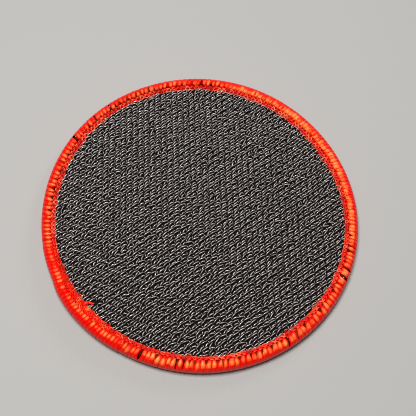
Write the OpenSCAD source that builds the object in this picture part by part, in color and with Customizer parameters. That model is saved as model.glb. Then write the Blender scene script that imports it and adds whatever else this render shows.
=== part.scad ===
// Round hook-and-loop patch, lying with its hook side up
// Millimetres, +Z up. The origin is the middle of the patch, on the
// surface that the border stands on.

/* [Patch] */
// Diameter over the border
patch_d = 76; // [60:0.5:90]
// Width of the border on the hook side
border_w = 3.7; // [3.5:0.05:4]
// Height of the border at its crest
border_h = 3.7; // [3.6:0.05:4]
// Width of the threads that wrap the rim, measured in from the rim to the needle holes
wrap_w = 2.6; // [2.4:0.05:2.8]
// Height of the row of loops along the border's inner edge
loops_h = 3.2; // [3.1:0.05:3.3]

/* [Cloth] */
// Thickness of the face fabric
fabric_t = 1; // [1:0.05:1.1]
// Thickness of the ground of the hook tape
tape_t = 1; // [0.9:0.05:1]
// Distance of the cloth's cut edge from the rim
cloth_inset = 1.3; // [1.2:0.05:1.5]

/* [Hooks] */
// Height of the hook tips above the surface that the patch lies on
hook_top = 3.55; // [3.3:0.05:3.7]
// Distance from one row of hooks to the next
row_pitch = 1.265; // [1.1:0.005:1.5]
// Width of the rib that stands for one row
row_w = 0.7; // [0.5:0.05:0.9]
// Direction of the rows, turned from +X towards +Y
row_turn = 42.75; // [0:0.25:90]

/* [End of the border] */
// Place where the lap starts, in degrees round the rim from +X
lap_start = 200; // [190:1:205]
// Place where the lap ends
lap_end = 249; // [240:1:260]
// Place where the lap is thickest
lap_peak = 222; // [215:1:230]
// How far the lap stands out past the rim at its thickest
lap_out = 0.45; // [0.2:0.05:0.6]
// Place of the knot that ties off the border's thread
knot_turn = 227; // [222:0.5:235]
// Length of the thread tail, from its knot to its tip
tail_l = 1.75; // [1.4:0.05:2.2]
// Diameter of the thread tail's knot
knot_d = 1; // [0.8:0.05:1.1]

/* [Hidden] */

// Clearances between two layers of cloth, and between cloth and thread
layer_gap = 0.04;
thread_gap = 0.05;

patch_r = patch_d / 2;
inner_r = patch_r - border_w;
needle_r = patch_r - wrap_w;
cloth_r = patch_r - cloth_inset;

// The layers, counted up from the surface
under_t = 0.36;
fabric_z = under_t + layer_gap;
tape_z = fabric_z + fabric_t + layer_gap;
tape_top = tape_z + tape_t;
web_t = 0.2;
web_z = tape_top + layer_gap;
rib_z = web_z + web_t;

// The wrapped rim is a round roll of thread, pressed flat where it stands
press = 0.05;
roll_r = (border_h + press) / 2;
roll_c = patch_r - roll_r;
roll_z = border_h - roll_r;

// The rows of loops inside the needle holes, above and below the cloth
loops_r = 0.9;
loops_c = inner_r + loops_r;
loops_z = loops_h - loops_r;
under_r = 0.8;
under_c = needle_r;
under_lift = 0.04;
under_z = under_r + under_lift;

// The hooks end a little inside the border
hooks_gap = 0.15;
hooks_r = inner_r - hooks_gap;
row_end_gap = 0.1;
row_count = floor((hooks_r - row_w / 2) / row_pitch);

// The lap covers the roll from low on its outside to just short of the needle holes.
// It is thickest on its outside and thins towards the crest and towards both ends.
lap_low = -40;
lap_high = 106;
lap_edge = 0.06;
lap_crest = 0.75;
lap_thinning = 1.2;
lap_skew = ln(0.5) / ln((lap_peak - lap_start) / (lap_end - lap_start));
lap_steps = 20;
lap_strips = 10;

// The thread tail lies on the web in a clearing among the hooks, and points inwards
knot_in = 0.35;
tip_in = 1.2;
tip_d = 0.6 * knot_d;
strand_r = 0.42;
knot_r = inner_r - knot_in;
tip_r = inner_r - tip_in;
knot_z = rib_z + thread_gap + knot_d / 2;
tip_z = rib_z + thread_gap + tip_d / 2;
tail_turn = 2 * asin(sqrt(tail_l * tail_l - pow(knot_r - tip_r, 2)) / (knot_r + tip_r));
clearing_r = tail_l / 2 + knot_d / 2 + hooks_gap;

// A point at radius r, a degrees round from +X, z above the surface
function polar(r, a, z) = [r * cos(a), r * sin(a), z];

// The middles of the tail's knot and of its tip
knot = polar(knot_r, knot_turn, knot_z);
tip = polar(tip_r, knot_turn + tail_turn, tip_z);

// A point held off the roll, at an angle measured round the roll from its outermost line
function off_roll(a, slope, off) =
    polar(roll_c + (roll_r + off) * cos(slope), a, roll_z + (roll_r + off) * sin(slope));

// Thickness of the lap, u along its length and v across it, both from 0 to 1
function lap_t(u, v) =
    lap_edge
    + lap_out * pow(sin(180 * pow(u, lap_skew)), lap_thinning) * sin(180 * pow(v, lap_crest));

// Outline of one section across the lap: out along its top and back along its underside
function lap_section(u) =
    let (a = lap_start + u * (lap_end - lap_start))
    concat(
        [for (j = [0 : lap_strips])
            off_roll(a, lap_low + (lap_high - lap_low) * j / lap_strips,
                thread_gap + lap_t(u, j / lap_strips))],
        [for (j = [lap_strips : -1 : 0])
            off_roll(a, lap_low + (lap_high - lap_low) * j / lap_strips, thread_gap)]);

// One layer of cloth
module cloth_disc(z, t) {
    translate([0, 0, z]) cylinder(r = cloth_r, h = t, $fn = 180);
}

// The patch's plain front, which faces down
module face_fabric() {
    color("#26272b") cloth_disc(fabric_z, fabric_t);
}

// The woven ground that the hooks stand on
module hook_tape() {
    color("#2f2d2c") cloth_disc(tape_z, tape_t);
}

// One row of hooks as a solid rib that ends just inside the field's edge
module hook_row(i) {
    reach = sqrt(pow(hooks_r, 2) - pow(abs(i) * row_pitch + row_w / 2, 2)) - row_end_gap;
    translate([-reach, i * row_pitch - row_w / 2, web_z + web_t / 2])
        cube([2 * reach, row_w, hook_top - web_z - web_t / 2]);
}

// The field of hooks on its web, with the clearing round the thread tail
module hook_rows() {
    color("#3d3a38") {
        translate([0, 0, web_z]) cylinder(r = hooks_r, h = web_t, $fn = 180);
        difference() {
            rotate([0, 0, row_turn])
                for (i = [-row_count : row_count]) hook_row(i);
            translate([(knot[0] + tip[0]) / 2, (knot[1] + tip[1]) / 2, 0])
                cylinder(r = clearing_r, h = hook_top + 1, $fn = 48);
        }
    }
}

// Section through the border: the roll, the loops inside it, and the channel for the cloth
module border_section() {
    difference() {
        union() {
            intersection() {
                translate([roll_c, roll_z]) circle(r = roll_r, $fn = 96);
                translate([needle_r, 0]) square([wrap_w + 1, border_h + 1]);
            }
            translate([loops_c, loops_z]) circle(r = loops_r, $fn = 64);
            translate([under_c, under_z]) circle(r = under_r, $fn = 64);
        }
        translate([inner_r - 1, under_t])
            square([cloth_r + thread_gap - inner_r + 1, tape_top + layer_gap - under_t]);
    }
}

// The overlocked border, one ring of thread that grips the edge of the cloth
module merrow_border() {
    color("#e01a10") rotate_extrude($fn = 240) border_section();
}

// The last stitches of the border, sewn over the first ones
module border_lap() {
    ring = 2 * (lap_strips + 1);
    points = [for (i = [0 : lap_steps]) each lap_section(i / lap_steps)];
    skin = [for (i = [0 : lap_steps - 1], j = [0 : ring - 1])
        let (a = i * ring + j, b = i * ring + (j + 1) % ring)
        each [[a, b, b + ring], [a, b + ring, a + ring]]];
    ends = [for (s = [0, lap_steps * ring], j = [0 : lap_strips - 1])
        let (a = s + j, b = s + j + 1, c = s + ring - 2 - j, d = s + ring - 1 - j)
        each (s == 0 ? [[a, c, b], [a, d, c]] : [[a, b, c], [a, c, d]])];
    color("#d3160d") polyhedron(points = points, faces = concat(skin, ends), convexity = 4);
}

// Section through the tail, from the middle of its knot up to its tip
module tail_section(run) {
    intersection() {
        union() {
            circle(d = knot_d, $fn = 48);
            polygon([[0, 0], [strand_r * knot_d, 0], [strand_r * tip_d, run], [0, run]]);
            translate([0, run]) circle(d = tip_d, $fn = 48);
        }
        translate([0, -knot_d]) square([knot_d, run + 2 * knot_d]);
    }
}

// The tied-off end of the thread
module thread_tail() {
    way = tip - knot;
    color("#c8150e") translate(knot)
        rotate([0, acos(way[2] / norm(way)), atan2(way[1], way[0])])
            rotate_extrude($fn = 48) tail_section(norm(way));
}

face_fabric();
hook_tape();
hook_rows();
merrow_border();
border_lap();
thread_tail();
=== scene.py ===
import math

import bpy
import numpy as np
from mathutils import Matrix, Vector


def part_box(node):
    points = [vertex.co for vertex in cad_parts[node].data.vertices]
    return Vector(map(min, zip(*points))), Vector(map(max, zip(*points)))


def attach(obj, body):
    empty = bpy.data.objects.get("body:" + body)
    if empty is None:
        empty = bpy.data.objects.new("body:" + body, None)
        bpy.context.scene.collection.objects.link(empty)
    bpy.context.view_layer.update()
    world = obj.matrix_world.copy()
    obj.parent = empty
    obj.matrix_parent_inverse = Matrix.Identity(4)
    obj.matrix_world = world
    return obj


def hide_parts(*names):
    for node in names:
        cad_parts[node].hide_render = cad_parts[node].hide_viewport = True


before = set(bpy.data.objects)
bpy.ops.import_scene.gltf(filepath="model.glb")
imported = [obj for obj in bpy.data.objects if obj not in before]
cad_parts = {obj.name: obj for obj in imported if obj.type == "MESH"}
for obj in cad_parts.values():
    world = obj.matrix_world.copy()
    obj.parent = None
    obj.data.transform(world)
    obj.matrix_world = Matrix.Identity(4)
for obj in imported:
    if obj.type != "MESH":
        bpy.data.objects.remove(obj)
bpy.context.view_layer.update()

# A round hook-and-loop patch, lying with its hook side up.
# Every shape is worked out in millimetres and scaled to metres when its mesh is made. Places round
# the rim are in degrees from +X, a full turn being TURN.
MM = 0.001
TURN = 360.0
UP = (0.0, 0.0, 1.0)

# Sizes taken from the solids
border_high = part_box("merrow_border")[1]
tape_low, tape_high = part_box("hook_tape")
face_low, face_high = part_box("face_fabric")
rows_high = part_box("hook_rows")[1]
RIM_R = border_high.x / MM
BORDER_H = border_high.z / MM
CLOTH_R = tape_high.x / MM
TAPE_LOW = tape_low.z / MM
TAPE_TOP = tape_high.z / MM
FACE_LOW = face_low.z / MM
FACE_TOP = face_high.z / MM
HOOKS_R = rows_high.x / MM

# The border's section, as in the solids: a roll of thread round the rim, pressed flat where it
# stands, and a row of loops inside its needle holes
BORDER_W = 3.7
WRAP_W = 2.6
LOOPS_H = 3.2
LOOPS_R = 0.9
PRESS = 0.05
ROLL_R = (BORDER_H + PRESS) / 2
ROLL_C = RIM_R - ROLL_R
ROLL_Z = BORDER_H - ROLL_R
INNER_R = RIM_R - BORDER_W
NEEDLE_R = RIM_R - WRAP_W
LOOPS_C = INNER_R + LOOPS_R
LOOPS_Z = LOOPS_H - LOOPS_R

# The hooks' lattice
ROW_TURN = math.radians(42.75)
ROW_PITCH = 1.265
HOOK_PITCH = 1.669

# The lap, in degrees round the rim, as in the solids
LAP_START = 200.0
LAP_END = 249.0
LAP_OUT = 0.45
# Its thickness from its start to its end: share of its length, share of its full thickness
LAP_SHARE = (0.0, 0.29, 0.37, 0.53, 0.78, 1.0)
LAP_SWELL = (0.0, 0.15, 0.90, 1.0, 0.60, 0.0)
# It hides the stitches under it up to this far from its end
LAP_THIN = 4

# How far the real border is out of round: azimuth, radius of the rim, radius of the inner edge
OUTLINE = (
    (0, 37.9, 34.55), (45, 37.65, 33.72), (90, 37.8, 34.2), (135, 37.75, 34.38), (180, 37.6, 34.1),
    (205, 37.78, 34.4), (225, 38.0, 34.2), (270, 37.95, 34.2), (315, 37.9, 34.35),
)

# The stitches' spacing: azimuth, degrees from one stitch to the next
SPACING = (
    (0, 1.5), (80, 1.6), (96, 1.95), (180, 1.9), (204, 1.55),
    (248, 1.7), (272, 2.03), (322, 2.1), (336, 1.75), (350, 1.75),
)

# Where the wrapping threads part and show the dark cloth edge: azimuth, share of a full slit
SLITS = (
    (4, 0.4), (9.4, 0.3), (18, 0.2), (21, 0.25), (37, 0.25), (70, 0.3), (87, 0.6), (89.5, 0.4),
    (93, 0.35), (97, 0.8), (101, 0.5), (103, 0.3), (105, 0.3), (107, 0.35), (111, 0.45),
    (116.5, 0.5), (118.6, 0.7), (124, 0.2), (128, 0.3), (131.4, 0.5), (133.2, 0.5), (135.7, 1.0),
    (141.6, 0.5), (143.3, 1.0), (145.4, 0.45), (147.8, 0.45), (154, 1.0), (162, 0.2),
    (169.7, 0.5), (173, 0.2), (177, 0.6), (180.5, 0.5), (187, 0.5), (256.2, 1.0), (262, 0.3),
    (269, 0.9), (271.4, 1.0), (275.4, 0.45), (279.4, 0.6), (283.5, 0.4), (287.7, 0.25),
    (291, 0.6), (293, 0.3), (295.2, 0.45), (297.3, 0.6), (299.3, 0.5), (303, 0.6), (304.7, 0.3),
    (308.5, 0.6), (310.7, 1.0), (313, 0.6), (315, 0.3), (318.6, 0.7), (325.5, 0.4), (335, 0.5),
    (338.5, 0.55), (342, 1.0), (345.6, 0.8), (348.7, 0.4), (352.3, 0.8), (354, 0.4), (359, 0.4),
)
# How far a full slit pushes the threads beside it and the next ones, and the least that any slit does
SLIT_PUSH = 0.40
SLIT_PUSH_NEXT = 0.08
SLIT_LEAST = 0.02
# From this share on, a gap opens down the roll as a slit, and from the next on, hooks show in it
SLIT_SHARE = 0.4
WIDE_SHARE = 0.9


# Helpers for shapes

def deselect():
    """Leaves nothing selected, so that an operator acts on its own piece alone."""
    bpy.ops.object.select_all(action="DESELECT")
    bpy.context.view_layer.objects.active = None


def polar(r, turn, z):
    """Points at radius r, turn degrees round from +X, z above the surface."""
    angle = np.radians(turn)
    r, angle, z = np.broadcast_arrays(r, angle, z)
    return np.stack([r * np.cos(angle), r * np.sin(angle), z], -1)


def eased(turn, table, column):
    """A value from a table whose first column is the azimuth, eased from row to row all round."""
    rows = np.array(table, float)
    at = np.append(rows[:, 0], rows[0, 0] + TURN)
    values = np.append(rows[:, column], rows[0, column])
    turn = np.mod(turn, TURN)
    row = np.clip(np.searchsorted(at, turn, "right") - 1, 0, len(at) - 2)
    share = (turn - at[row]) / (at[row + 1] - at[row])
    share = share * share * (3 - 2 * share)
    return values[row] + (values[row + 1] - values[row]) * share


def out_of_round(r, turn):
    """The radius that a point of the true ring has on the real, slightly uneven border."""
    rim = eased(turn, OUTLINE, 1)
    inner = eased(turn, OUTLINE, 2)
    return inner + (r - INNER_R) * (rim - inner) / (RIM_R - INNER_R)


def curve_through(points, rings):
    """Rings evenly spaced stations on a Catmull-Rom curve through the points."""
    points = np.array(points, float)
    ends = np.vstack([2 * points[0] - points[1], points, 2 * points[-1] - points[-2]])
    at = np.linspace(0, len(points) - 1, rings)
    before = np.minimum(at.astype(int), len(points) - 2)
    t = (at - before)[:, None]
    a, b, c, d = (ends[before + k] for k in range(4))
    return 0.5 * (2 * b + (c - a) * t + (2 * a - 5 * b + 4 * c - d) * t**2
                  + (3 * b - a - 3 * c + d) * t**3)


def unit(directions):
    """The same directions, each a unit long."""
    return directions / np.maximum(np.linalg.norm(directions, axis=-1, keepdims=True), 1e-12)


# Sides of a thread that lies flat, and of a round one
FLAT_SIDES = 6
ROUND_SIDES = 5
# Rings in one section of a thread that runs all round
SECTION = 80


def straight_thread(sides, rings):
    """Models one straight thread, a unit long and a unit in radius, and returns its corners and faces."""
    deselect()
    bpy.ops.mesh.primitive_cylinder_add(vertices=sides, radius=1, depth=1, location=(0, 0, 0.5))
    thread = bpy.context.object
    bpy.ops.object.transform_apply(location=True, rotation=True, scale=True)
    bpy.context.tool_settings.mesh_select_mode = (False, True, False)
    bpy.ops.object.mode_set(mode="EDIT")
    bpy.ops.mesh.select_all(action="DESELECT")
    bpy.ops.object.mode_set(mode="OBJECT")
    # Only the edges that run along the thread are cut into rings
    for edge in thread.data.edges:
        ends = [thread.data.vertices[v].co.z for v in edge.vertices]
        edge.select = abs(ends[0] - ends[1]) > 0.5
    bpy.ops.object.mode_set(mode="EDIT")
    if rings > 2:
        bpy.ops.mesh.subdivide(number_cuts=rings - 2)
    bpy.ops.object.mode_set(mode="OBJECT")
    corners = np.array([v.co for v in thread.data.vertices])
    faces = [tuple(p.vertices) for p in thread.data.polygons]
    bpy.data.objects.remove(thread)
    return corners, faces


def lay_threads(paths, facing, half_w, half_h, sides):
    """Lays one thread along each path. paths is (threads, rings, 3). The half width lies across the
    path, and the half height towards facing, which is one direction or one for each ring. Returns
    points, faces, UVs, and the thread and the ring that each point belongs to."""
    count, rings = paths.shape[:2]
    corners, faces = straight_thread(sides, rings)
    ring = np.rint(corners[:, 2] * (rings - 1)).astype(int)
    tangent = unit(np.gradient(paths, axis=1))
    side = unit(np.cross(facing, tangent))
    rise = np.cross(tangent, side)
    half_w = np.broadcast_to(half_w, (count, rings))[:, ring, None]
    half_h = np.broadcast_to(half_h, (count, rings))[:, ring, None]
    points = (paths[:, ring] + side[:, ring] * half_w * corners[:, 0, None]
              + rise[:, ring] * half_h * corners[:, 1, None])
    # The UV map gives the length run along the thread, in millimetres, and the share of the way round
    step = np.linalg.norm(np.diff(paths, axis=1), axis=2)
    run = np.concatenate([np.zeros((count, 1)), np.cumsum(step, 1)], 1)
    around = np.mod(np.arctan2(corners[:, 1], corners[:, 0]) / (2 * math.pi), 1.0)
    loop_ring = np.concatenate([ring[list(face)] for face in faces])
    loop_around = []
    for face in faces:
        share = around[list(face)]
        past_seam = (share.max() - share > 0.5) & (len(face) == 4)
        loop_around.append(np.where(past_seam, share + 1, share))
    loop_around = np.concatenate(loop_around)
    uv = np.stack([run[:, loop_ring], np.broadcast_to(loop_around, (count, len(loop_around)))], -1)
    base = len(corners)
    all_faces = [tuple(v + k * base for v in face) for k in range(count) for face in faces]
    owner = np.repeat(np.arange(count), base), np.tile(ring, count)
    return points.reshape(-1, 3), all_faces, uv.reshape(-1, 2), owner


def in_sections(path):
    """Cuts one long thread into sections that share their end rings."""
    return path[np.arange(0, len(path) - 1, SECTION)[:, None] + np.arange(SECTION + 1)]


def make_piece(name, parts, tones):
    """Joins laid threads into one mesh with a UV map and a tone for each thread or for each ring."""
    points, faces, uvs, point_tones, base = [], [], [], [], 0
    for (part_points, part_faces, part_uvs, owner), tone in zip(parts, tones):
        points.append(part_points)
        faces += [tuple(v + base for v in face) for face in part_faces]
        uvs.append(part_uvs)
        point_tones.append(tone[owner[0]] if tone.ndim == 1 else tone[owner])
        base += len(part_points)
    mesh = bpy.data.meshes.new(name)
    mesh.from_pydata(np.vstack(points) * MM, [], faces)
    layer = mesh.uv_layers.new(name="run")
    layer.data.foreach_set("uv", np.vstack(uvs).astype(np.float32).ravel())
    attribute = mesh.attributes.new("tone", "FLOAT", "POINT")
    attribute.data.foreach_set("value", np.concatenate(point_tones).astype(np.float32))
    mesh.validate()
    piece = bpy.data.objects.new(name, mesh)
    bpy.context.scene.collection.objects.link(piece)
    mesh.polygons.foreach_set("use_smooth", [True] * len(mesh.polygons))
    mesh.update()
    return piece


# Stitch places

def stitch_places():
    """The azimuth of every stitch's needle hole all round, and its share of the rim in degrees."""
    turns = [0.0]
    while turns[-1] < TURN:
        turns.append(turns[-1] + float(eased(turns[-1], SPACING, 1)))
    turns = np.array(turns)
    turns *= TURN / turns[-1]
    return turns[:-1], np.diff(turns)


def parted(turns, widths):
    """How far each stitch's threads are pushed aside by the slits beside it, in millimetres, the
    share of the widest slit beside it, and the share of the slit after it."""
    n = len(turns)
    push = np.zeros(n)
    widest = np.zeros(n)
    after = np.zeros(n)
    between = turns + widths / 2
    for at, share in SLITS:
        gap = np.mod(at - between + TURN / 2, TURN) - TURN / 2
        before = int(np.argmin(np.abs(gap)))
        after[before] = share
        near = SLIT_LEAST + SLIT_PUSH * share
        far = SLIT_PUSH_NEXT * share
        for step, amount in ((-1, -far), (0, -near), (1, near), (2, far)):
            stitch = (before + step) % n
            push[stitch] += amount
            widest[stitch] = max(widest[stitch], share)
    return push, widest, after


# The stretch where the stitches stand so close that no holes show between them: where it starts, its
# length, and the degrees over which it sets in and ends
CLOSED_FROM = -5.0
CLOSED_LENGTH = 98.0
CLOSED_SETS_IN = 8.0
CLOSED_ENDS = 10.0
# How much less the threads there narrow, stand proud, roll over and taper
CLOSED_FAN = 0.85
CLOSED_CROWN = 0.5
CLOSED_ROLL = 0.7
CLOSED_TAPER = 0.7


def closed_share(turns):
    """1 in the stretch without holes between the stitches, 0 outside it, and a share at its ends."""
    along = np.mod(turns - CLOSED_FROM, TURN)
    return np.clip((CLOSED_LENGTH - along) / CLOSED_ENDS, 0, 1) * np.clip(along / CLOSED_SETS_IN, 0, 1)


# The border's wrapping threads, three to a stitch, over one flat strand in each gap
WRAP_STRANDS = (-1.0, 0.0, 1.0)
WRAP_HALF_H = 0.06
ARC_STATIONS = 14
# The lowest that the middle of a thread lies
FLOOR_Z = WRAP_HALF_H + 0.01
# Slopes round the roll are counted in degrees, up from its outermost line. The threads turn in under
# it at this one, and a lift off the roll starts at the next and rises and falls over the span.
UNDER_SLOPE = -100.0
LIFT_FROM = -70.0
LIFT_SPAN = 200.0
# The stretch inside the needle hole: how far in from its mouth and down, and the way it faces
HOLE = ((0.08, 0.75, 170.0), (0.05, 0.32, 150.0))
# The stretch under the cloth: radius, height, and the way it faces
UNDER = ((35.15, 0.17, -95.0), (34.9, 0.22, -110.0), (34.76, 0.42, -170.0))
# What changes along a thread, by the slope that its outside faces: the slopes, the share at each.
# How wide the strands of a stitch fan out, how far a small gap and a slit open, how far the thread
# leans, how far it stands proud, how far the outer strands roll over, its width, and its painted highlight
FANNED = ((-60, 40, 70, 80, 90, 104, 150), (1, 1, 0.98, 0.92, 0.75, 0.50, 0.46))
GAP_OPEN = ((70, 95, 150), (0, 1, 1))
SLIT_OPEN = ((12, 32, 50, 80, 100, 150), (0, 0.8, 1, 0.85, 0.45, 0.4))
LEANED = ((-100, 20, 110, 150), (1.35, 1.0, 0.0, 0.0))
PROUD = ((-60, 20, 70, 100, 150), (0, 0.15, 1, 1, 0))
ROLLED = ((-60, 20, 76, 150), (0, 0, 1, 1))
TAPERED = ((94, 110, 150), (1, 0.75, 0.4))
HIGHLIGHT_SLOPES = ((48, 66, 88, 106), (0, 1, 1, 0))
# How far the middle strand of a stitch stands proud, and how much less the outer ones do
CROWN = 0.06
CROWN_DROP = 0.12
# How far the outer strands roll over towards the gaps on the crest, in degrees
ROLL_OVER = 26
# Half the width of the middle strand as a share of the strands' spacing, and how much less the outer
# ones have
STRAND_SHARE = 0.95
STRAND_DROP = 0.13
# The spread of how far a thread wanders along the rim, and of how far a strand and a whole stitch
# stand off the roll. Then the least and the most that a fan is kept from narrowing, as shares.
WANDER = 0.025
STRAND_UNEVEN = 0.008
STITCH_UNEVEN = 0.03
FAN_OPEN = (-0.2, 0.8)


def wrap_paths(turns, widths, push, widest, start, lift, lean, seed, closed, inward=0.0,
               strands=WRAP_STRANDS):
    """Paths of the threads that rise from the needle holes, cross the roll's crest and pass under.
    start is the slope where they leave the holes, lift how far they stand off the roll, and closed is
    1 where no holes show between them. The last value returned is how much of the crest's painted
    highlight each ring of a thread takes, and inward moves that highlight towards the holes, in degrees."""
    rng = np.random.default_rng(seed)
    strands = np.array(strands)
    n, k = len(turns), len(strands)
    slope = start[:, None] + (UNDER_SLOPE - start[:, None]) * np.linspace(0, 1, ARC_STATIONS)
    raised = np.sin(math.pi * np.clip((slope - LIFT_FROM) / LIFT_SPAN, 0, 1))
    depth = ROLL_R - WRAP_HALF_H + lift[:, None] * raised
    arc_r = ROLL_C + depth * np.cos(np.radians(slope))
    arc_z = np.maximum(ROLL_Z + depth * np.sin(np.radians(slope)), FLOOR_Z)
    hole = np.array(HOLE)
    under = np.array(UNDER)
    r = np.concatenate([arc_r[:, :1] - hole[:, 0], arc_r, np.tile(under[:, 0], (n, 1))], 1)
    z = np.concatenate([arc_z[:, :1] - hole[:, 1], arc_z, np.tile(under[:, 1], (n, 1))], 1)
    faces = np.concatenate([np.tile(hole[:, 2], (n, 1)), slope, np.tile(under[:, 2], (n, 1))], 1)
    rings = r.shape[1]
    # Along the rim: each strand's place in its fan, the slits beside it, its lean, and a little wander
    fan = np.interp(faces, *FANNED)
    kept_open = np.maximum(CLOSED_FAN * closed, rng.uniform(*FAN_OPEN, n))
    fan = fan + (1 - fan) * kept_open[:, None]
    opened = np.interp(faces, *GAP_OPEN)
    as_slit = np.clip((widest - SLIT_SHARE) / (1 - SLIT_SHARE), 0, 1)
    opened = opened + (np.interp(faces, *SLIT_OPEN) - opened) * as_slit[:, None]
    spread = (widths / len(WRAP_STRANDS) * math.pi / 180 * ROLL_C)[:, None, None] * fan[:, None, :]
    shift = strands[None, :, None] * spread + (push[:, None] * opened)[:, None, :]
    wander = rng.normal(0, WANDER, (n, k, 1)) * np.sin(np.linspace(0, math.pi, rings))
    turn = (turns[:, None, None] + (shift + wander) / (r[:, None, :] * math.pi / 180)
            + (lean[:, None] * np.interp(faces, *LEANED))[:, None, :])
    # Off the roll
    crown = CROWN - CROWN_DROP * np.abs(strands)[None, :, None]
    crown = crown + rng.normal(0, STRAND_UNEVEN, (n, k, 1))
    crown = crown + rng.normal(0, STITCH_UNEVEN, (n, 1, 1))
    crown = crown * np.interp(faces, *PROUD)[:, None, :] * (1 - CLOSED_CROWN * closed)[:, None, None]
    facing_z = np.sin(np.radians(faces))[:, None, :]
    facing_r = np.cos(np.radians(faces))[:, None, :]
    radius = r[:, None, :] + crown * facing_r
    height = np.maximum(z[:, None, :] + crown * facing_z, FLOOR_Z)
    paths = polar(out_of_round(radius, turn), turn, height)
    rolled = np.interp(faces, *ROLLED)[:, None, :] * strands[None, :, None]
    sideways = np.sin(np.radians(ROLL_OVER * rolled * (1 - CLOSED_ROLL * closed[:, None, None])))
    facing = polar(facing_r, turn, facing_z) + polar(sideways, turn + 90, 0.0)
    taper = np.interp(faces, *TAPERED)[:, None, :]
    taper = taper + CLOSED_TAPER * (1 - taper) * closed[:, None, None]
    half_w = (STRAND_SHARE - STRAND_DROP * np.abs(strands))[None, :, None] * spread * taper
    highlight_share = np.repeat(np.interp(faces - np.reshape(inward, (-1, 1)), *HIGHLIGHT_SLOPES), k, axis=0)
    return (paths.reshape(n * k, rings, 3), facing.reshape(n * k, rings, 3),
            half_w.reshape(n * k, rings), highlight_share)


# One loop of the inner row: share of a stitch along, radius, rise above the row's own surface
LOOP = (
    (0.00, NEEDLE_R + 0.12, -0.30),
    (0.10, NEEDLE_R + 0.02, -0.04),
    (0.42, NEEDLE_R - 0.25, 0.00),
    (0.74, NEEDLE_R - 0.54, -0.05),
    (0.86, NEEDLE_R - 0.78, -0.04),
    (0.64, NEEDLE_R - 0.95, -0.04),
    (0.28, NEEDLE_R - 0.98, -0.04),
    (0.00, NEEDLE_R - 0.86, 0.00),
    (-0.06, NEEDLE_R - 0.64, 0.06),
    (0.16, NEEDLE_R - 0.36, 0.12),
    (0.56, NEEDLE_R - 0.16, 0.10),
    (0.90, NEEDLE_R + 0.04, -0.04),
    (1.00, NEEDLE_R + 0.12, -0.30),
)
LOOP_HALF = 0.115
LOOP_RINGS = 22
# The spread of a loop's size, of its radius and height, and of its place in a stitch
LOOP_SIZE_SPREAD = 0.13
LOOP_SPREAD = 0.03
LOOP_ALONG_SPREAD = 0.05
# From this radius on, the roll's surface is the one on top
ROLL_FROM = NEEDLE_R + 0.3
# The threads that lock the loops: middle of their weave, how far they weave in and out, their depth
# below the row's surface, how far they weave up and down, half their thickness, and the painted shade on
# them
LOCK_R = NEEDLE_R - 0.42
LOCK_IN_OUT = 0.17
LOCK_DEPTH = 0.22
LOCK_UP_DOWN = 0.10
LOCK_HALF = 0.12
LOCK_PAINTED_SHADE = -0.2
# The flat threads that fill the row under its loops: radius, depth below the row's surface. Then their half
# sizes and the painted shade on them
CORE = ((NEEDLE_R - 0.04, 0.75), (NEEDLE_R - 0.44, 0.66), (NEEDLE_R - 0.76, 0.44))
CORE_HALF_W = 0.26
CORE_HALF_H = 0.14
CORE_PAINTED_SHADE = -0.35
# From this radius inwards the loops turn lighter, into a painted pink sheen, over this width
LIGHTER_FROM = NEEDLE_R - 0.5
LIGHTER_OVER = 0.4
# The needle thread's bars from hole to hole: radius, height, how far they bow, half sizes
BAR_R = NEEDLE_R - 0.04
BAR_Z = 3.17
BAR_BOW = 1.2
BAR_HALF_W = 0.12
BAR_HALF_H = 0.11


def loops_top(r):
    """Height of the inner row's surface at radius r, and of the roll's further out."""
    across = np.clip((r - LOOPS_C) / LOOPS_R, -0.98, 0.98)
    roll = np.clip((r - ROLL_C) / ROLL_R, -1, 1)
    return np.where(r > ROLL_FROM, ROLL_Z + ROLL_R * np.sqrt(1 - roll**2),
                    LOOPS_Z + LOOPS_R * np.sqrt(1 - across**2))


def loop_paths(turns, widths, move, lift, seed):
    """Paths of the crossing loops between the needle holes and the inner edge."""
    rng = np.random.default_rng(seed)
    n = len(turns)
    form = curve_through(LOOP, LOOP_RINGS)
    size = 1 + rng.normal(0, LOOP_SIZE_SPREAD, (n, 1))
    r = NEEDLE_R + (form[:, 1] - NEEDLE_R) * size + rng.normal(0, LOOP_SPREAD, (n, 1))
    turn = turns[:, None] + widths[:, None] * (form[:, 0] + rng.normal(0, LOOP_ALONG_SPREAD, (n, 1)))
    r = r + move[:, None]
    z = loops_top(r) - LOOP_HALF + form[:, 2] + rng.normal(0, LOOP_SPREAD, (n, 1)) + lift[:, None]
    return polar(out_of_round(r, turn), turn, z)


def lock_sections(turns, phase):
    """One thread all round that locks the loops, weaving out, in, over and under once a stitch."""
    turn = np.linspace(0, TURN, 16 * SECTION + 1)
    stitch = np.interp(turn, np.append(turns, TURN), np.arange(len(turns) + 1))
    wave = 2 * math.pi * (stitch + phase)
    r = LOCK_R + LOCK_IN_OUT * np.sin(wave)
    z = loops_top(r) - LOCK_DEPTH + LOCK_UP_DOWN * np.cos(wave)
    return in_sections(polar(out_of_round(r, turn), turn, z))


def core_sections(r, depth):
    """One flat thread all round, under the loops."""
    turn = np.linspace(0, TURN, 3 * SECTION + 1)
    return in_sections(polar(out_of_round(r, turn), turn, loops_top(r) - depth))


def bar_paths(turns, widths):
    """Short straight bars of the needle thread between neighbouring holes."""
    share = np.linspace(0.08, 0.92, 5)
    turn = turns[:, None] + widths[:, None] * share
    return polar(out_of_round(BAR_R, turn), turn, BAR_Z - BAR_BOW * (share - 0.5) ** 2)


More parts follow.
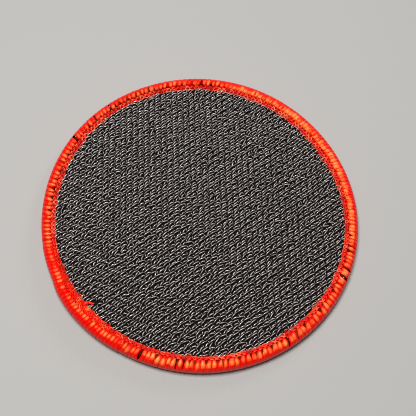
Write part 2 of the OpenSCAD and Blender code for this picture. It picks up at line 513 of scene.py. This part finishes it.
# The band of painted highlight on the crest: azimuth, how far it lies in from the crest in degrees of
# slope, how strong it is
HIGHLIGHT_BAND = (
    (0, 14, 1.0), (10, 20, 1.0), (80, 20, 1.0), (100, 18, 0.65), (150, 18, 0.55),
    (185, 15, 0.75), (215, 4, 1.0), (240, 0, 1.0), (345, 0, 1.0),
)
# The slopes where the threads leave the needle holes, and where the strands under the gaps do
WRAP_START = 111.0
UNDERLAY_START = 106.0
# How far the threads lean round the rim, in degrees, the spread of that, and the spread of where
# their band of painted highlight lies, in degrees of slope
WRAP_LEAN = -0.6
WRAP_LEAN_SPREAD = 0.13
HIGHLIGHT_SPREAD = 6
# How far the strands under the gaps lie below the others, how much further under a full slit, and
# how much wider they are
UNDERLAY_DEPTH = 0.18
UNDERLAY_SUNK = 0.4
UNDERLAY_WIDER = 1.3


def rim_wraps(turns, widths, rng):
    """The threads wrapped round the rim, three to a stitch, with a flat strand under each gap."""
    n = len(turns)
    still = np.zeros(n)
    lean = WRAP_LEAN + rng.normal(0, WRAP_LEAN_SPREAD, n)
    push, widest, after = parted(turns, widths)
    covered = (turns > LAP_START) & (turns < LAP_END - LAP_THIN)
    closed = np.maximum(closed_share(turns), covered)
    inward = eased(turns, HIGHLIGHT_BAND, 1) + rng.normal(0, HIGHLIGHT_SPREAD, n)
    paths, facing, half_w, highlight_share = wrap_paths(turns, widths, push, widest, still + WRAP_START, still,
                                             lean, seed=12, closed=closed, inward=inward)
    parts = [lay_threads(paths, facing, half_w, WRAP_HALF_H, FLAT_SIDES)]
    # The middle strand of a stitch gets the most painted highlight, and nothing under the lap gets any
    even = 0.45 + 0.4 * closed_share(turns)
    highlight_amount = rng.uniform(0.4, 0.9, n) * np.stack([even, np.ones(n), even])
    highlight_amount = highlight_amount + rng.uniform(-0.1, 0.1, (len(WRAP_STRANDS), n))
    highlight_amount = np.where(covered, 0.0, highlight_amount * eased(turns, HIGHLIGHT_BAND, 2)).T
    tones = [rng.uniform(0, 0.3, (len(paths), 1)) + highlight_amount.reshape(-1, 1) * highlight_share]
    # The flat strands lie deeper, most of all where the threads part widely, and get painted shade that is
    # deepest there
    lift = -UNDERLAY_DEPTH - UNDERLAY_SUNK * after
    paths, facing, half_w, highlight_share = wrap_paths(
        turns + widths / 2, widths, still, still, still + UNDERLAY_START, lift, lean, seed=14,
        closed=still, strands=(0.0,))
    parts.append(lay_threads(paths, facing, UNDERLAY_WIDER * half_w, WRAP_HALF_H, FLAT_SIDES))
    painted_shade_tone = rng.uniform(-0.65, -0.2, n) - 0.9 * after
    tones.append(np.where(closed > 0.5, 0.1, np.maximum(painted_shade_tone, -1)))
    return make_piece("border_wraps", parts, tones)


def loop_row(turns, widths, rng):
    """The border's inner row: crossing loops, what locks them, and the threads that fill it."""
    n = len(turns)
    still = np.zeros(n)
    parts, tones = [], []
    for r, depth in CORE:
        paths = core_sections(r, depth)
        parts.append(lay_threads(paths, UP, CORE_HALF_W, CORE_HALF_H, FLAT_SIDES))
        tones.append(np.full(len(paths), CORE_PAINTED_SHADE))
    paths = loop_paths(turns, widths, still, still, seed=13)
    parts.append(lay_threads(paths, UP, LOOP_HALF, LOOP_HALF, ROUND_SIDES))
    # The loops' tones differ at random and rise towards the inner edge, where the high ones show a painted
    # pink sheen
    lighter = np.clip((LIGHTER_FROM - np.hypot(paths[..., 0], paths[..., 1])) / LIGHTER_OVER, 0, 1)
    tones.append(rng.uniform(-0.9, 0.9, (n, 1)) + 0.75 * lighter)
    for phase in (0.0, 0.5):
        paths = lock_sections(turns, phase)
        parts.append(lay_threads(paths, UP, LOCK_HALF, LOCK_HALF, ROUND_SIDES))
        tones.append(np.full(len(paths), LOCK_PAINTED_SHADE))
    parts.append(lay_threads(bar_paths(turns, widths), UP, BAR_HALF_W, BAR_HALF_H, ROUND_SIDES))
    tones.append(rng.uniform(-0.6, 1.1, n))
    return make_piece("border_loops", parts, tones)


# The lap's stitches: degrees from one to the next and the spread of that, the least that they stand
# off the roll, and how far out from the needle holes they start, at the lap's ends and how much
# further at its thickest
LAP_STITCH = 1.45
LAP_UNEVEN = 0.08
LAP_LEAST = 0.10
LAP_MOVE_LEAST = 0.15
LAP_MOVE = 0.85
# How far its stitches lean, in degrees, the spread of that, and how much wider their threads are
LAP_LEAN = -0.5
LAP_LEAN_SPREAD = 0.07
LAP_WIDER = 1.2
# Its two rows of loops: share of the way out to its stitches, seed
LAP_ROWS = ((0.45, 23), (1.0, 24))
# How far the loops lie above the row under them, and how much further at the lap's thickest
LAP_LOOP_LIFT = 0.15
LAP_LOOP_SWELL = 0.2
LAP_LOOP_HALF = 0.12
# The flat threads under its loops: share of the way out, radius where that starts, depth below the
# row's surface, how far they rise at the lap's thickest, half sizes
LAP_CORES = (0.0, 0.5)
LAP_CORE_R = NEEDLE_R - 0.1
LAP_CORE_DEPTH = 0.2
LAP_CORE_SWELL = 0.1
LAP_CORE_HALF_W = 0.3
LAP_CORE_HALF_H = 0.1


def lap():
    """The last stitches of the border, sewn over the first ones."""
    rng = np.random.default_rng(21)
    turns = np.arange(LAP_START + 1, LAP_END - 1, LAP_STITCH)
    turns = turns + rng.normal(0, LAP_UNEVEN, len(turns))
    n = len(turns)
    still = np.zeros(n)
    widths = still + LAP_STITCH
    swell = np.interp((turns - LAP_START) / (LAP_END - LAP_START), LAP_SHARE, LAP_SWELL)
    out = LAP_LEAST + LAP_OUT * swell
    move = LAP_MOVE_LEAST + LAP_MOVE * swell
    lean = LAP_LEAN + rng.normal(0, LAP_LEAN_SPREAD, n)
    start = np.degrees(np.arccos(np.clip((NEEDLE_R + move - ROLL_C) / ROLL_R, -1, 1)))
    paths, facing, half_w, highlight_share = wrap_paths(turns, widths, still, still, start, out, lean, seed=22,
                                             closed=still + 1)
    parts = [lay_threads(paths, facing, LAP_WIDER * half_w, WRAP_HALF_H, FLAT_SIDES)]
    # Streaks of painted highlight on the crest, strongest on each stitch's middle strand
    highlight_streak = rng.uniform(0.1, 0.7, (n, 1)) * np.array([0.2, 1.0, 0.2])
    tones = [rng.uniform(0, 0.25, (len(paths), 1)) + highlight_streak.reshape(-1, 1) * highlight_share**3]
    for share, seed in LAP_ROWS:
        lift = LAP_LOOP_LIFT + LAP_LOOP_SWELL * swell * share
        paths = loop_paths(turns, widths, share * move, lift, seed)
        parts.append(lay_threads(paths, UP, LAP_LOOP_HALF, LAP_LOOP_HALF, ROUND_SIDES))
        tones.append(rng.uniform(-0.6, 0.6, n))
    # Two flat threads fill the rows under the loops
    turn = np.linspace(turns[0], turns[-1], SECTION + 1)
    swell = np.interp(turn, turns, swell)
    for share in LAP_CORES:
        r = LAP_CORE_R + share * (LAP_MOVE_LEAST + LAP_MOVE * swell)
        z = loops_top(r) - LAP_CORE_DEPTH + LAP_CORE_SWELL * swell
        path = polar(out_of_round(r, turn), turn, z)
        parts.append(lay_threads(path[None], UP, LAP_CORE_HALF_W, LAP_CORE_HALF_H, FLAT_SIDES))
        tones.append(np.zeros(1))
    return make_piece("lap_threads", parts, tones)


# The tied-off end of the border's thread: azimuth, radius, height, half width
TAIL = (
    (227.3, 35.2, 3.20, 0.30),
    (227.5, 34.7, 3.38, 0.42),
    (227.9, 34.2, 3.40, 0.44),
    (228.4, 33.80, 3.32, 0.36),
    (229.1, 33.52, 3.22, 0.24),
    (229.6, 33.20, 3.18, 0.16),
    (229.9, 32.92, 3.22, 0.08),
)
# A loose ply of it that lies apart
LOOSE_PLY = (
    (228.6, 33.9, 3.10, 0.10),
    (229.2, 33.75, 3.12, 0.14),
    (229.8, 33.62, 3.14, 0.14),
    (230.3, 33.38, 3.16, 0.08),
)
# The swelling beside it, where the end is drawn under the last stitches
SWELLING = (
    (229.2, 35.7, 3.10, 0.25),
    (229.6, 35.35, 3.36, 0.42),
    (230.1, 34.97, 3.46, 0.52),
    (230.6, 34.72, 3.34, 0.42),
    (231.0, 34.50, 3.05, 0.22),
)
# Their strands, the turns that these are wound, their seed and the tone of their darkest strand. Tones
# above a quarter carry a painted orange highlight, strongest on the swelling
TAIL_PLIES = ((TAIL, 3, 0.6, 31, 0.0), (LOOSE_PLY, 1, 0.0, 33, 0.1), (SWELLING, 4, 0.3, 32, 0.5))
PLY_RINGS = 14
# As shares of a ply's half width: how far its strands lie from its middle, and their half width. As
# shares of their width: how high a ply and a strand are. Then how far strands differ in half width.
PLY_OFF = 0.5
PLY_HALF = 0.55
PLY_HIGH = 0.7
PLY_STRAND_HIGH = 0.8
PLY_UNEVEN = 0.005


def twisted(route, strands, wound, seed):
    """Strands of one ply wound round each other along a route whose last column is its half width.
    Returns their paths, the way that they face and their half widths."""
    rng = np.random.default_rng(seed)
    line = curve_through(route, PLY_RINGS)
    middle = polar(line[:, 1], line[:, 0], line[:, 2])
    ahead = unit(np.gradient(middle, axis=0))
    side = unit(np.cross(UP, ahead))
    rise = np.cross(ahead, side)
    off = PLY_OFF * line[:, 3]
    paths, halves = [], []
    for k in range(strands):
        angle = 2 * math.pi * (k / strands + wound * np.linspace(0, 1, PLY_RINGS))
        paths.append(middle + side * (off * np.cos(angle))[:, None]
                     + rise * (PLY_HIGH * off * np.sin(angle))[:, None])
        halves.append(PLY_HALF * line[:, 3] + rng.normal(0, PLY_UNEVEN))
    return np.array(paths), rise, np.array(halves)


def thread_tail():
    """The thread's tied-off end among the hooks and the swelling beside it."""
    parts, tones = [], []
    for route, strands, wound, seed, tone in TAIL_PLIES:
        paths, facing, halves = twisted(route, strands, wound, seed)
        parts.append(lay_threads(paths, facing, halves, PLY_STRAND_HIGH * halves, FLAT_SIDES))
        tones.append(tone + np.linspace(0.0, 0.3, strands))
    return make_piece("tail_ply", parts, tones)


# Hooks

# One hook in its own plane: along the row, across it, above its root
HOOK = (
    (-0.54, 0.00, -0.25),
    (-0.49, 0.00, 0.64),
    (-0.39, 0.02, 0.95),
    (-0.17, 0.05, 1.06),
    (0.17, 0.00, 1.06),
    (0.37, -0.06, 0.99),
    (0.44, -0.10, 0.80),
    (0.42, -0.10, 0.60),
)
# The cut end of the loop that made it, midway between two hooks and leaning out across the row
STUB = ((0.05, -0.20, -0.10), (0.05, -0.03, 0.80), (0.00, 0.40, 0.82))
# One uncut loop of the line beside the row
LOW_LOOP = (
    (-0.80, 0.00, -0.20),
    (-0.78, 0.00, 0.34),
    (-0.60, 0.00, 0.56),
    (-0.24, 0.00, 0.70),
    (0.24, 0.00, 0.70),
    (0.60, 0.00, 0.56),
    (0.78, 0.00, 0.34),
    (0.80, 0.00, -0.20),
)
# These stand a little wider apart, so they drift past the hooks from one side of the field to the other
LOW_PITCH = 1.714
LOW_ALONG = 0.5 * HOOK_PITCH + 0.53
LOW_ACROSS = -0.43
HOOK_HALF = 0.13
STUB_HALF = 0.085
LOW_HALF = 0.11
PRESSED_HALF = 0.085
# How far the middles of the hooks keep from the middle of the thread tail
TAIL_CLEAR = 0.62
# How far their roots lie below the top of the tape
ROOT_DEPTH = 0.06
# The spread of where a hook and a low loop stand, and how much of it goes into their heading, in
# radians for a millimetre
HOOK_UNTRUE = 0.05
LOW_UNTRUE = 0.04
HEADING_UNTRUE = 4
# The spread of their heights and of their lean, and the lowest and the highest share of the height
TALL_SPREAD = 0.05
LEAN_SPREAD = 0.05
TALL_LEAST = 0.85
TALL_MOST = 1.02
# How far past the border's inner edge the field goes on, and how much further on its near side, -Y
FIELD_PAST = 0.12
FIELD_PAST_NEAR = 0.25
# The share of their height by which the border's loops press them down, and how far inside and
# outside its inner edge that starts and is full
PRESSED = 0.45
PRESS_REACH = 0.3
# The height from which a hook has its full tone; below it a painted shade darkens it towards its root
PAINTED_SHADE_HEIGHT = 0.75
# The hooks pressed flat under the border's threads: how many in a gap, and how high they lie
PRESSED_COUNT = 5
PRESSED_Z = 3.12


def field_places(pitch, along_off, across_off):
    """Places a pitch apart on staggered rows, clear of the thread tail, and which rows are odd ones."""
    rows = int(HOOKS_R / ROW_PITCH) + 2
    place, row = np.meshgrid(np.arange(-rows, rows + 1), np.arange(-rows, rows + 1))
    place, row = place.ravel(), row.ravel()
    along = (place + 0.5 * (row % 2)) * pitch + along_off
    across = row * ROW_PITCH + across_off
    c, s = math.cos(ROW_TURN), math.sin(ROW_TURN)
    x = along * c - across * s
    y = along * s + across * c
    tail = np.array(TAIL)
    tail = polar(tail[:, 1], tail[:, 0], 0.0)
    from_tail = np.hypot(x[:, None] - tail[:, 0], y[:, None] - tail[:, 1]).min(1)
    keep = (np.hypot(x, y) < INNER_R + 1) & (from_tail > TAIL_CLEAR)
    return x[keep], y[keep], row[keep] % 2


def stood(form, half, places, untrue, rng):
    """Stands the form at the places, each a little out of true, with those of the odd rows turned
    round. Near the border they are pressed down under its loops."""
    x, y, odd = places
    n = len(x)
    heading = ROW_TURN + math.pi * odd + rng.normal(0, HEADING_UNTRUE * untrue, n)
    c, s = np.cos(heading)[:, None], np.sin(heading)[:, None]
    x = (x + rng.normal(0, untrue, n))[:, None]
    y = (y + rng.normal(0, untrue, n))[:, None]
    tall = np.clip(rng.normal(1.0, TALL_SPREAD, n), TALL_LEAST, TALL_MOST)
    lean_along = rng.normal(0, LEAN_SPREAD, (n, 1))
    lean_across = rng.normal(0, LEAN_SPREAD, (n, 1))
    line = np.array(form)
    z = line[:, 2] * tall[:, None]
    along = line[:, 0] + lean_along * z
    across = line[:, 1] * (1 - 2 * odd[:, None]) + lean_across * z
    px, py = x + along * c - across * s, y + along * s + across * c
    azimuth = np.arctan2(py, px)
    past = np.hypot(px, py) - out_of_round(INNER_R, np.degrees(azimuth))
    pressed = 1 - PRESSED * np.clip((past + PRESS_REACH) / (2 * PRESS_REACH), 0, 1)
    paths = np.stack([px, py, TAPE_TOP - ROOT_DEPTH + z * pressed], -1)
    # Slantwise between along and across, so that it never lies along a path
    facing = np.stack([c - s, c + s, 0 * c], -1)
    near = 0.5 - 0.5 * np.sin(azimuth)
    keep = (past - FIELD_PAST_NEAR * near).mean(1) < FIELD_PAST
    # A tone that differs at random from hook to hook, with painted shade lower down
    shade = rng.uniform(0, 1, (n, 1)) * np.clip(z / PAINTED_SHADE_HEIGHT, 0, 1) ** 2
    return lay_threads(paths[keep], facing[keep], half, half, ROUND_SIDES), shade[keep]


def pressed_hooks(rng):
    """Hooks that the border's threads have pressed flat, in every gap that is wide enough to show
    them."""
    slits = np.repeat([at for at, share in SLITS if share >= WIDE_SHARE], PRESSED_COUNT)
    n = len(slits)
    share = np.linspace(0, 1, 4)
    turn = slits[:, None] + rng.uniform(-0.35, 0.35, (n, 1)) + rng.uniform(-0.5, 0.5, (n, 1)) * share
    r = NEEDLE_R + rng.uniform(0.0, 1.2, (n, 1)) + rng.uniform(0.2, 0.4, (n, 1)) * share
    z = PRESSED_Z + rng.uniform(-0.1, 0.1, (n, 1)) + 0.12 * np.sin(math.pi * share)
    return polar(r, turn, z)


def hooks():
    """The field of single nylon hooks, with the cut ends of their loops between them."""
    rng = np.random.default_rng(41)
    parts, tones = [], []
    for form, half, along_off in ((HOOK, HOOK_HALF, 0.0), (STUB, STUB_HALF, 0.5 * HOOK_PITCH)):
        places = field_places(HOOK_PITCH, along_off, 0.0)
        threads, shades = stood(form, half, places, HOOK_UNTRUE, rng)
        parts.append(threads)
        tones.append(shades)
    paths = pressed_hooks(rng)
    parts.append(lay_threads(paths, UP, PRESSED_HALF, PRESSED_HALF, ROUND_SIDES))
    tones.append(rng.uniform(0, 0.6, len(paths)))
    return make_piece("nylon_hooks", parts, tones)


def low_loops():
    """The filament's low uncut loops, in one line beside each row of hooks."""
    places = field_places(LOW_PITCH, LOW_ALONG, LOW_ACROSS)
    threads, shades = stood(LOW_LOOP, LOW_HALF, places, LOW_UNTRUE, np.random.default_rng(51))
    return make_piece("low_loops", [threads], [shades])


# Cloth

# The outermost lines of a sheet's grid stop this angle short of the circle's sides, so that they
# keep some length
GRID_SHORT = math.radians(1.5)
# The relief fades out over this width along the cut edge
EDGE_FADE = 0.6
# The tape's ground between the wefts lies this far below the solid's top, and the wefts rise from it
TAPE_SUNK = 0.34
WEFT_RISE = 0.06
# The twill's ribs: their spacing, how far they rise, and how far the ground between them is sunk
TWILL_RIB = 0.6
TWILL_RISE = 0.05
TWILL_SUNK = 0.06
TWILL_TURN = math.radians(20)


def round_sheet(name, low, high, lines, steps, turned, relief):
    """A round sheet of cloth: a grid whose lines run along its threads and are cut to the circle,
    with relief(along, across) raised on its outer side and a plain back and edge."""
    deselect()
    bpy.ops.mesh.primitive_grid_add(x_subdivisions=steps, y_subdivisions=lines, size=2)
    sheet = bpy.context.object
    sheet.name = name
    mesh = sheet.data
    grid = np.zeros(len(mesh.vertices) * 3)
    mesh.vertices.foreach_get("co", grid)
    grid = grid.reshape(-1, 3)
    across = grid[:, 1] * CLOTH_R * math.cos(GRID_SHORT)
    along = grid[:, 0] * np.sqrt(CLOTH_R**2 - across**2)
    edge = np.clip((CLOTH_R - np.hypot(along, across)) / EDGE_FADE, 0, 1)
    height = high + relief(along, across) * edge
    c, s = math.cos(turned), math.sin(turned)
    placed = np.stack([along * c - across * s, along * s + across * c, height], -1) * MM
    mesh.vertices.foreach_set("co", placed.ravel())
    bpy.context.tool_settings.mesh_select_mode = (False, True, False)
    bpy.ops.object.mode_set(mode="EDIT")
    bpy.ops.mesh.select_all(action="SELECT")
    bpy.ops.mesh.region_to_loop()
    bpy.ops.mesh.extrude_region_move(TRANSFORM_OT_translate={"value": (0, 0, (low - high) * MM)})
    bpy.ops.mesh.edge_face_add()
    bpy.ops.mesh.select_all(action="SELECT")
    bpy.ops.mesh.normals_make_consistent(inside=False)
    bpy.ops.object.mode_set(mode="OBJECT")
    bpy.ops.object.shade_smooth_by_angle(angle=math.radians(50))
    return sheet


def tape_relief(along, across):
    """Wefts across the rows, under the hooks and the low loops."""
    return -TAPE_SUNK + WEFT_RISE * np.abs(np.cos(2 * math.pi * along / HOOK_PITCH))


def twill_relief(along, across):
    """Ribs of the twill, one to every line of threads."""
    return -TWILL_SUNK + TWILL_RISE * np.abs(np.cos(math.pi * across / TWILL_RIB))


def tape():
    """The ground of the hook tape, with its lines along the rows of hooks."""
    return round_sheet("tape_ground", TAPE_LOW, TAPE_TOP, lines=90, steps=352, turned=ROW_TURN,
                       relief=tape_relief)


def face():
    """The patch's front, made face up and turned over."""
    sheet = round_sheet("face_twill", FACE_LOW, FACE_TOP, lines=480, steps=60, turned=TWILL_TURN,
                        relief=twill_relief)
    middle = (FACE_LOW + FACE_TOP) * MM
    turned = Matrix.Translation((0, 0, middle)) @ Matrix.Rotation(math.pi, 4, "X")
    sheet.data.transform(turned)
    return sheet


# Materials

class Value:
    """A shader socket that takes part in Python arithmetic."""

    def __init__(self, finish, socket):
        self.finish = finish
        self.socket = socket

    def __add__(self, other):
        return self.finish.maths("ADD", self, other)

    def __sub__(self, other):
        return self.finish.maths("SUBTRACT", self, other)

    def __rsub__(self, other):
        return self.finish.maths("SUBTRACT", other, self)

    def __mul__(self, other):
        return self.finish.maths("MULTIPLY", self, other)

    __radd__ = __add__
    __rmul__ = __mul__


class Finish:
    """A material and the nodes that make it."""

    def __init__(self, name):
        self.material = bpy.data.materials.new(name)
        self.material.use_nodes = True
        self.nodes = self.material.node_tree.nodes
        self.links = self.material.node_tree.links
        self.shader = self.nodes["Principled BSDF"]

    def add(self, kind, settings=None, **sockets):
        """Adds a node: its settings first, then the values or links of its sockets. A socket is given
        by its name, or by i and its number."""
        node = self.nodes.new(kind)
        for key, value in (settings or {}).items():
            setattr(node, key, value)
        for key, value in sockets.items():
            socket = int(key[1:]) if key[1:].isdigit() else key.replace("_", " ")
            self.put(node.inputs[socket], value)
        return node

    def put(self, socket, value):
        """Links a value to a socket, or sets the socket to a constant."""
        if isinstance(value, Value):
            self.links.new(value.socket, socket)
        else:
            socket.default_value = value

    def out(self, node, name):
        return Value(self, node.outputs[name])

    def maths(self, operation, a, b):
        return self.out(self.add("ShaderNodeMath", {"operation": operation}, i0=a, i1=b), "Value")

    def mix(self, factor, a, b):
        """Mixes two colours."""
        node = self.add("ShaderNodeMix", {"data_type": "RGBA"}, Factor=factor, A=a, B=b)
        return self.out(node, "Result")

    def noise(self, where, scale, detail=2.0):
        return self.out(self.add("ShaderNodeTexNoise", Vector=where, Scale=scale, Detail=detail), "Fac")

    def place(self):
        """Where a point lies on the object."""
        return self.out(self.add("ShaderNodeTexCoord"), "Object")

    def tone(self):
        """The tone that make_piece gave to each thread or ring."""
        return self.out(self.add("ShaderNodeAttribute", {"attribute_name": "tone"}), "Fac")

    def set(self, **values):
        """Sets the shader's own sockets."""
        for key, value in values.items():
            self.put(self.shader.inputs[key.replace("_", " ")], value)

    def bump(self, height, strength, distance):
        node = self.add("ShaderNodeBump", Height=height, Strength=strength, Distance=distance)
        self.set(Normal=self.out(node, "Normal"))


# The reds of the border's thread
RED = (0.78, 0.001, 0.0008, 1)
# Paler red for high tones, which are partly random and partly the painted highlight on the crest
RED_LIGHT = (0.90, 0.002, 0.001, 1)
RED_DEEP = (0.66, 0.001, 0.001, 1)
# Painted shade for the threads that lie under the others
RED_PAINTED_SHADE = (0.06, 0.001, 0.001, 1)
# Painted orange highlight on the crest
RED_HIGHLIGHT = (0.88, 0.28, 0.065, 1)
# Painted pink sheen on the loops
PINK_SHEEN = (0.85, 0.15, 0.09, 1)
# Plies side by side round a thread, and how steeply they are twisted
PLIES = 3
TWIST = 2.2
# The whitish tint of the nylon, whose grey is partly a painted sheen, and how much of it is left in its
# darker patches
MILK = (1.0, 0.91, 0.88)
MILK_LEFT = 0.3


def thread_finish(name, pink, highlight_amount, ior, tint):
    """Red satin polyester thread of fine twisted plies, a little different from thread to thread, with
    painted shade on the threads under others, a painted orange highlight on the crest and a painted pink
    sheen on the loops.
    """
    thread = Finish(name)
    tone = thread.tone()
    place = thread.place()
    run = thread.out(thread.add("ShaderNodeUVMap", {"uv_map": "run"}), "UV")
    split = thread.add("ShaderNodeSeparateXYZ", Vector=run)
    twist = thread.out(split, "X") * TWIST + thread.out(split, "Y")
    plies = thread.maths("SINE", twist * (2 * math.pi * PLIES), 0.0)
    fibres = thread.noise(place, 9000.0, 3.0)
    # Every shade of tone is a shade of red, and the highest ones turn to a painted pink sheen on the loops
    red = thread.mix(tone, RED, RED_LIGHT)
    red = thread.mix(thread.maths("POWER", tone, 3.0) * pink, red, PINK_SHEEN)
    red = thread.mix(thread.noise(place, 420.0) * 0.5, red, RED_DEEP)
    # Negative tones paint shade on the threads that lie under the others, which are also duller
    painted_shade = thread.maths("MAXIMUM", 0.0 - tone, 0.0)
    red = thread.mix(painted_shade, red, RED_PAINTED_SHADE)
    # High tones on the crest get a painted orange highlight
    painted_highlight = thread.maths("MAXIMUM", tone - 0.25, 0.0) * (2.4 * thread.noise(place, 2400.0))
    red = thread.mix(painted_highlight * highlight_amount, red, RED_HIGHLIGHT)
    thread.set(Base_Color=red, Roughness=0.25 + 0.14 * fibres + 0.6 * painted_shade, Specular_IOR_Level=0.6,
          IOR=ior, Specular_Tint=tint)
    thread.bump(plies * 0.5 + fibres, 0.12, 0.00006)
    return thread.material


def hook_finish(name, milk_and_sheen, ior):
    """Glossy black nylon, a little whitish from hook to hook, whose grey is partly a painted sheen that its
    darker patches break into glints, with painted shade low on each hook.
    """
    nylon = Finish(name)
    place = nylon.place()
    milk_and_sheen_grey = np.array(MILK) * milk_and_sheen
    patchy = nylon.tone() * (2.6 * nylon.noise(place, 2300.0) - 0.4)
    colour = nylon.mix(patchy, (*(MILK_LEFT * milk_and_sheen_grey), 1), (*milk_and_sheen_grey, 1))
    nylon.set(Base_Color=colour, Roughness=0.7 * nylon.noise(place, 1700.0) - 0.04, Specular_IOR_Level=1.0,
          IOR=ior)
    nylon.bump(nylon.noise(place, 5200.0), 0.1, 0.00004)
    return nylon.material


def tape_finish():
    """The tape's black weave under the hooks."""
    weave = Finish("tape_weave")
    place = weave.place()
    turned = weave.add("ShaderNodeMapping", Vector=place, Rotation=(0, 0, -ROW_TURN))
    split = weave.add("ShaderNodeSeparateXYZ", Vector=weave.out(turned, "Vector"))
    cross = weave.maths("SINE", weave.out(split, "X") * (16 * math.pi / (HOOK_PITCH * MM)), 0.0)
    fibres = weave.noise(place, 6000.0, 3.0)
    colour = weave.mix(fibres, (0.003, 0.002, 0.002, 1), (0.011, 0.008, 0.0077, 1))
    weave.set(Base_Color=colour, Roughness=0.6 + 0.2 * fibres, Specular_IOR_Level=0.05)
    weave.bump(cross * 0.4 + fibres, 0.6, 0.00008)
    return weave.material


def twill_finish():
    """Plain black twill."""
    twill = Finish("face_twill")
    place = twill.place()
    wave = twill.add("ShaderNodeTexWave", {"bands_direction": "DIAGONAL"}, Vector=place, Scale=900.0)
    warp = twill.out(wave, "Fac")
    fibres = twill.noise(place, 5000.0, 3.0)
    colour = twill.mix(warp, (0.014, 0.014, 0.016, 1), (0.030, 0.030, 0.034, 1))
    twill.set(Base_Color=colour, Roughness=0.7 + 0.15 * fibres, Sheen_Weight=0.15)
    twill.bump(warp + 0.6 * fibres, 0.5, 0.00008)
    return twill.material


# Stage

# The camera, as fitted to the photograph: tilt, roll, place in millimetres, focal length in pixels
CAMERA_TILT = math.radians(23.54)
CAMERA_ROLL = math.radians(7.44)
CAMERA_PLACE = (1.520, -86.010, 204.785)
FOCAL_PIXELS = 922.0
PHOTO_PIXELS = 416.0
SENSOR = 36.0


def camera():
    """The photograph's view: tilted from straight down, and turned a little about its own line of sight."""
    data = bpy.data.cameras.new("camera")
    data.sensor_width = SENSOR
    data.lens = SENSOR * FOCAL_PIXELS / PHOTO_PIXELS
    data.clip_start = 0.01
    eye = bpy.data.objects.new("camera", data)
    bpy.context.scene.collection.objects.link(eye)
    forward = np.array([0, math.sin(CAMERA_TILT), -math.cos(CAMERA_TILT)])
    up = np.array([0, math.cos(CAMERA_TILT), math.sin(CAMERA_TILT)])
    right = np.array([1.0, 0, 0])
    c, s = math.cos(CAMERA_ROLL), math.sin(CAMERA_ROLL)
    x, y = right * c + up * s, up * c - right * s
    place = Matrix((x, y, -forward)).transposed().to_4x4()
    place.translation = [v * MM for v in CAMERA_PLACE]
    eye.matrix_world = place
    bpy.context.scene.camera = eye


def light(name, place, size, power, colour):
    """A square soft light that points at the patch, its place and size in metres."""
    data = bpy.data.lights.new(name, "AREA")
    data.size = size
    data.energy = power
    data.color = colour
    lamp = bpy.data.objects.new(name, data)
    bpy.context.scene.collection.objects.link(lamp)
    lamp.location = place
    away = lamp.location.normalized()
    lamp.rotation_mode = "QUATERNION"
    lamp.rotation_quaternion = away.to_track_quat("Z", "Y")


def stage():
    """A pale floor and soft studio light."""
    deselect()
    bpy.ops.mesh.primitive_plane_add(size=2.0, location=(0, 0, 0))
    floor = bpy.context.object
    floor.name = "floor"
    paint = Finish("floor")
    paint.set(Base_Color=(0.34, 0.34, 0.336, 1), Roughness=0.8)
    floor.data.materials.append(paint.material)
    world = bpy.data.worlds.new("world")
    bpy.context.scene.world = world
    world.use_nodes = True
    background = world.node_tree.nodes["Background"]
    background.inputs["Color"].default_value = (0.9, 0.95, 1.0, 1)
    background.inputs["Strength"].default_value = 0.15
    light("overhead", (-0.07, 0.0, 0.45), 0.18, 2.9, (1.0, 0.97, 0.93))
    light("window", (0.22, 0.34, 0.22), 0.14, 0.45, (0.96, 0.98, 1.0))
    bpy.context.scene.view_settings.view_transform = "Standard"
    bpy.context.scene.cycles.use_denoising = False
    bpy.context.scene.cycles.filter_width = 1.0


camera()
stage()

finishes = {
    "border_thread": thread_finish("border_thread", 0.0, 1.0, 1.52, (1.0, 0.32, 0.11, 1)),
    "lap_thread": thread_finish("lap_thread", 0.0, 1.0, 1.52, (1.0, 0.30, 0.11, 1)),
    "loop_thread": thread_finish("loop_thread", 1.0, 0.35, 1.5, (1.0, 0.60, 0.40, 1)),
    "tail_thread": thread_finish("tail_thread", 0.0, 1.0, 1.5, (1.0, 0.60, 0.40, 1)),
    "nylon_hooks": hook_finish("nylon_hooks", 0.42, 1.98),
    "low_loops": hook_finish("low_loops", 0.45, 1.82),
    "tape_weave": tape_finish(),
    "face_twill": twill_finish(),
}


def dress(piece, slot, *nodes, finish=None):
    """Gives a piece its finish and its place on the body, and hides the solids that it stands for."""
    piece.data.materials.clear()
    piece.data.materials.append(finishes[finish or slot])
    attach(piece, "root")
    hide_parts(*nodes)


stitch_turns, stitch_widths = stitch_places()
border_rng = np.random.default_rng(11)
border_wraps = rim_wraps(stitch_turns, stitch_widths, border_rng)
border_loops = loop_row(stitch_turns, stitch_widths, border_rng)
dress(border_wraps, "border_thread", "merrow_border")
dress(border_loops, "border_thread", "merrow_border", finish="loop_thread")
dress(lap(), "border_thread", "border_lap", finish="lap_thread")
dress(thread_tail(), "border_thread", "thread_tail", finish="tail_thread")
dress(hooks(), "nylon_hooks", "hook_rows")
tape_sheet = tape()
dress(tape_sheet, "tape_weave", "hook_tape")
dress(low_loops(), "nylon_hooks", "hook_rows", finish="low_loops")
face_sheet = face()
dress(face_sheet, "face_twill", "face_fabric")
